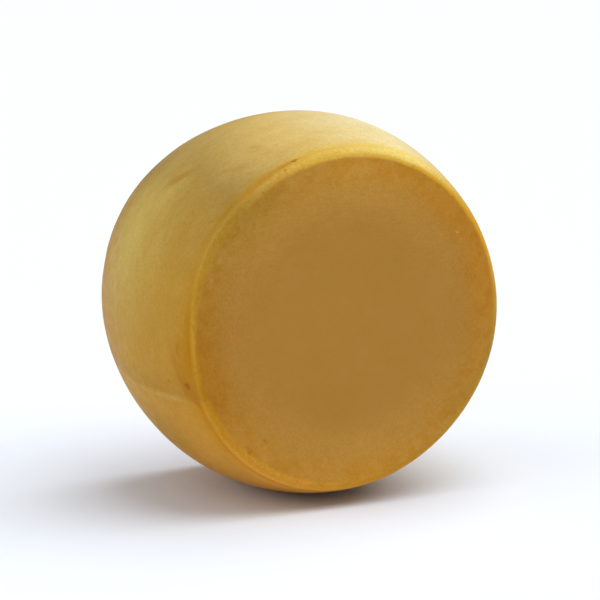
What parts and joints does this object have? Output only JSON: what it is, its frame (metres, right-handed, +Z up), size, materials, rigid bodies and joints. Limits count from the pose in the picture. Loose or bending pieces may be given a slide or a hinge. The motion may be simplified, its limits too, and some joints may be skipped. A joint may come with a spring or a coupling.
{
  "type": "cheese wheel",
  "caption": "Whole hard cheese wheel with flat faces, rounded rims and a bulging side, standing upright on the belly of its side.",
  "frame": {"origin": "on the ground, under the middle of the standing wheel", "axes": "+Z up, the wheel's axis along Y with its front face towards -Y, +X to the right as the front face is seen"},
  "size_m": [0.4, 0.2336, 0.3988],
  "materials": {
    "rind": "dry, matte golden rind, browner along the grooves of the rims and paler on the bulge of the side"
  },
  "bodies": {
    "root": {"cheese_wheel": "rind"}
  },
  "joints": []
}
